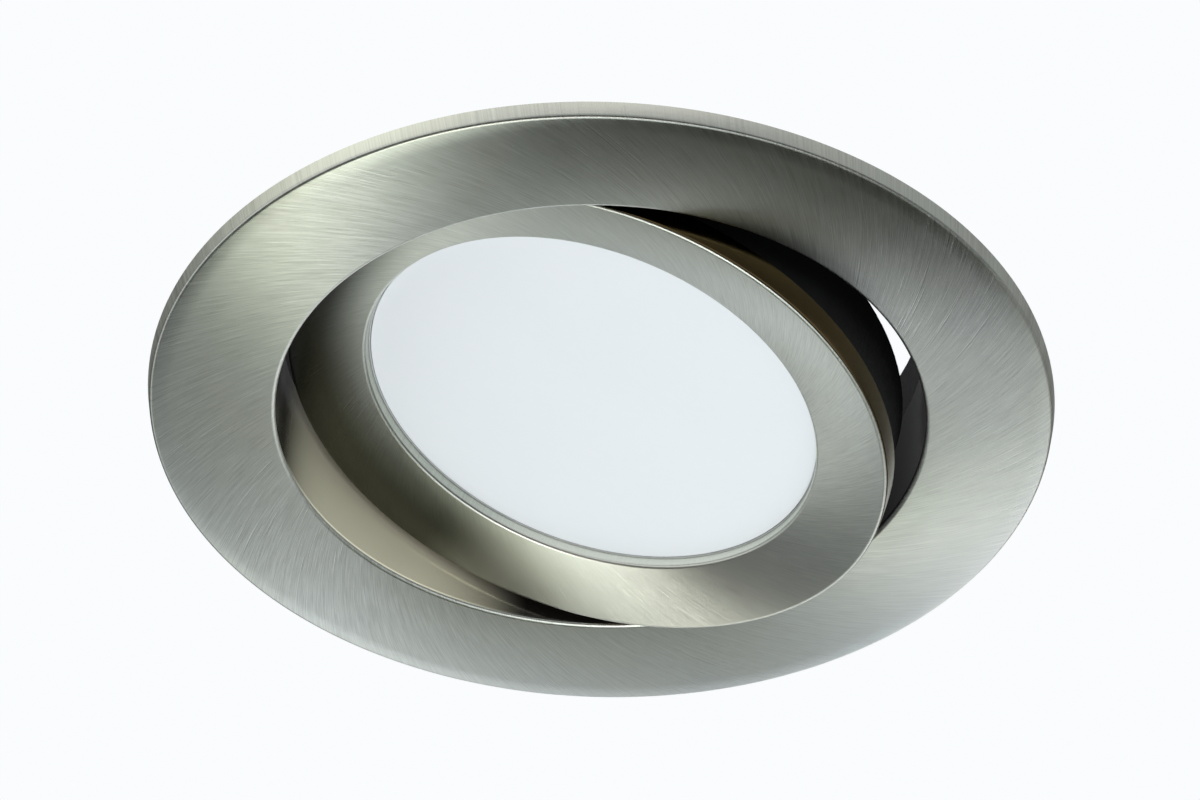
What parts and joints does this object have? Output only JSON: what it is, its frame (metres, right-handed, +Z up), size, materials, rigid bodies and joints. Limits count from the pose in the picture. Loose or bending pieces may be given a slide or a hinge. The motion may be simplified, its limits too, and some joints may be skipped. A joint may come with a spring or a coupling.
{
  "type": "recessed soffit downlight",
  "caption": "Round brushed-nickel recessed downlight for a soffit: a dished lamp head with an opal diffuser tilts inside a flat trim ring held up by sprung clips.",
  "frame": {"origin": "centre of the trim ring's back plane, which lies against the underside of the soffit", "axes": "+Z up into the soffit, so the light leaves towards -Z; +Y along the head's tilt axis, towards the cable gland; +X towards the side of the head that is tilted out at rest"},
  "size_m": [0.09, 0.09, 0.0355],
  "materials": {
    "brushed_nickel": "spiral-brushed satin nickel plating",
    "zinc_steel": "bright zinc plating",
    "spring_steel": "drawn spring wire",
    "foam": "closed-cell foam",
    "soft_sleeve": "matt silicone",
    "seal_rubber": "matt rubber",
    "thermal_film": "soft heat-conducting film",
    "black_housing": "fine black powder coat on die-cast aluminium",
    "black_plastic": "fine eroded black moulding",
    "opal": "satin opal moulding",
    "white_plastic": "white moulding",
    "nylon": "natural nylon",
    "board_metal": "white-coated aluminium board",
    "led_phosphor": "phosphor-filled light chips",
    "circuit_board": "green lacquered glass-fibre board",
    "component_black": "black moulded components",
    "transformer_tape": "yellow winding tape",
    "terminal_plastic": "blue-grey terminal moulding",
    "contact_brass": "bare brass"
  },
  "bodies": {
    "trim": {"trim_ring": "brushed_nickel", "soffit_gasket": "foam", "clip_bracket_right": "zinc_steel", "clip_bracket_left": "zinc_steel", "clip_pin_right": "zinc_steel", "clip_pin_left": "zinc_steel", "clip_spring_right": "spring_steel", "clip_spring_left": "spring_steel", "clip_rivets": "zinc_steel"},
    "head": {"head_bezel": "brushed_nickel", "pivot_screws": "zinc_steel", "housing_screws": "zinc_steel", "cover_screws": "zinc_steel", "pivot_spring_washers": "spring_steel", "housing_seal": "seal_rubber", "diffuser_gasket": "seal_rubber", "gland_seal": "seal_rubber", "thermal_pad": "thermal_film", "lamp_housing": "black_housing", "driver_cover": "black_plastic", "gland_body": "black_plastic", "gland_nut": "black_plastic", "gland_locknut": "black_plastic", "diffuser": "opal", "reflector_ring": "white_plastic", "lead_bush": "white_plastic", "pivot_spacers": "nylon", "led_board": "board_metal", "led_chips": "led_phosphor", "driver_board": "circuit_board", "driver_capacitor": "component_black", "driver_chips": "component_black", "driver_transformer": "transformer_tape", "terminal_block": "terminal_plastic", "lead_pins": "contact_brass", "terminal_screws": "contact_brass"},
    "clip_right": {"clip_arm_right": "zinc_steel", "clip_sleeve_right": "soft_sleeve"},
    "clip_left": {"clip_arm_left": "zinc_steel", "clip_sleeve_left": "soft_sleeve"}
  },
  "joints": [
    {"name": "head_tilt", "type": "hinge", "parent": "trim", "child": "head", "pos_m": [0, 0, 0.0045], "axis": [0, 1, 0], "range_deg": [-45.7, 14.3]},
    {"name": "clip_right_fold", "type": "hinge", "parent": "trim", "child": "clip_right", "pos_m": [0.03585, 0, 0.0102], "axis": [0, -1, 0], "range_deg": [0, 140], "stiffness_Nm_per_rad": 0.01, "springref_deg": -28.65, "deforming": ["clip_spring_right"]},
    {"name": "clip_left_fold", "type": "hinge", "parent": "trim", "child": "clip_left", "pos_m": [-0.03585, 0, 0.0102], "axis": [0, 1, 0], "range_deg": [0, 140], "stiffness_Nm_per_rad": 0.01, "springref_deg": -28.65, "deforming": ["clip_spring_left"]}
  ]
}
